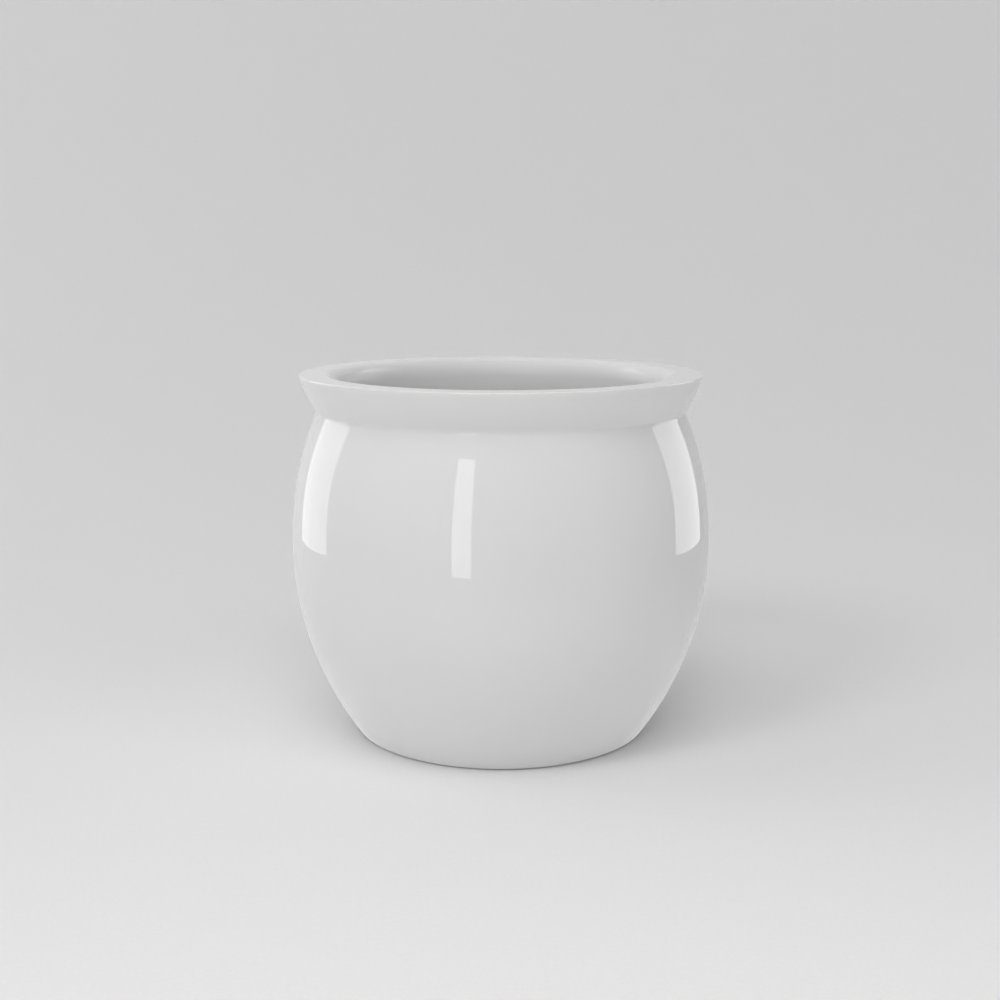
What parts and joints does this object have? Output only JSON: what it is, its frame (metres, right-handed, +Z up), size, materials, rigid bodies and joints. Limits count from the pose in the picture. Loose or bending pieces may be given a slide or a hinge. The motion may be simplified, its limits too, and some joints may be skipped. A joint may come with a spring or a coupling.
{
  "type": "crucible",
  "caption": "Small round-bellied porcelain vessel with a creased neck, a flared collar and a flat lip, glossy glazed inside and out, on a bare flat foot.",
  "frame": {"origin": "centre of the flat foot, on the surface that the vessel stands on", "axes": "+Z up along the axis of revolution, from the foot to the mouth; X and Y are alike, because the vessel is round"},
  "size_m": [0.0524, 0.0524, 0.0451],
  "materials": {
    "porcelain": "bare fired porcelain, matt, slightly warm white",
    "glaze": "clear glossy glaze over white porcelain, neutral white"
  },
  "bodies": {
    "root": {"porcelain_body": "porcelain", "outer_glaze": "glaze", "inner_glaze": "glaze"}
  },
  "joints": []
}
